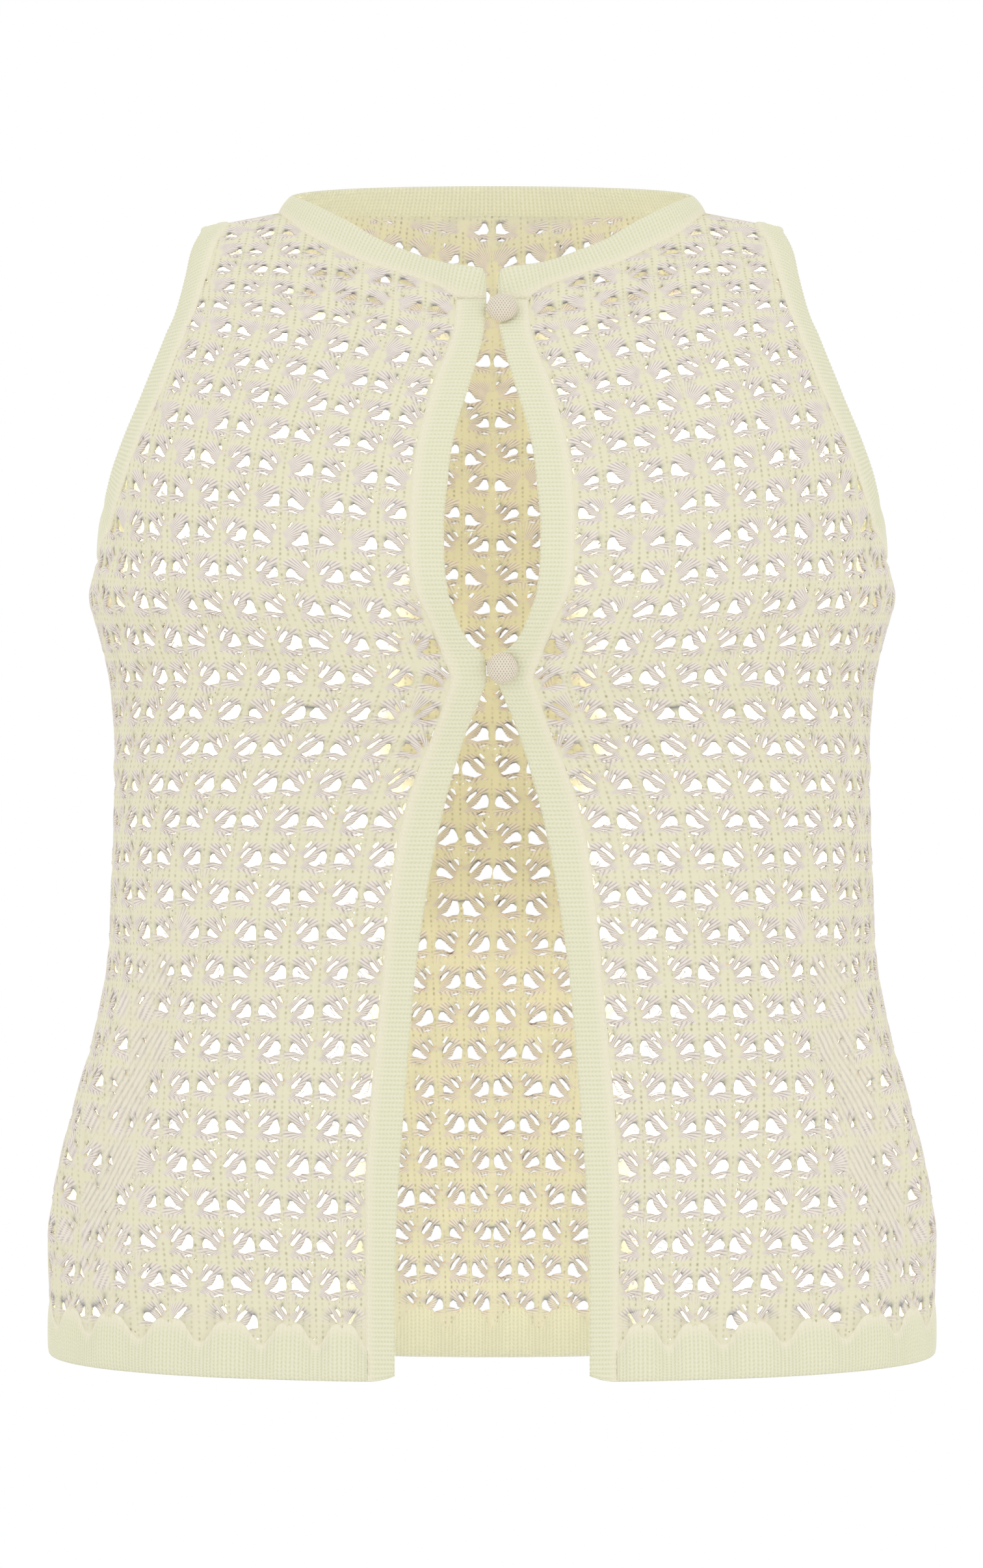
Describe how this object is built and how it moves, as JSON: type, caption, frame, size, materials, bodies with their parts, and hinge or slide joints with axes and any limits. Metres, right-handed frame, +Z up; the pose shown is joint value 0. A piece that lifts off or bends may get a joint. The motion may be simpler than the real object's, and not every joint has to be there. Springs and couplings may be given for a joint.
{
  "type": "crochet top",
  "caption": "Sleeveless lace-knit top with a round neck and a curved front opening held by covered buttons, filled out as if worn.",
  "frame": {"origin": "midway between the wearer's shoulders, on the line where the neckband crosses the shoulder seams", "axes": "+Z up, +X to the wearer's left, -Y out of the front"},
  "size_m": [0.4358, 0.2746, 0.5989],
  "materials": {
    "lace": "openwork knitted lace in a matt cotton and viscose yarn, pale cream-lime",
    "rib": "close rib knit in the same yarn, pale lime",
    "button": "domed button covered in beige net cloth",
    "loop": "thin covered elastic cord"
  },
  "bodies": {
    "root": {"front_right": "lace", "front_left": "lace", "back": "lace", "hem_band_front_right": "rib", "hem_band_front_left": "rib", "hem_band_back": "rib", "placket_right": "rib", "placket_left": "rib", "neckband": "rib", "armhole_band_right": "rib", "armhole_band_left": "rib", "button_upper": "button", "button_lower": "button", "loop_upper": "loop", "loop_lower": "loop"}
  },
  "joints": []
}
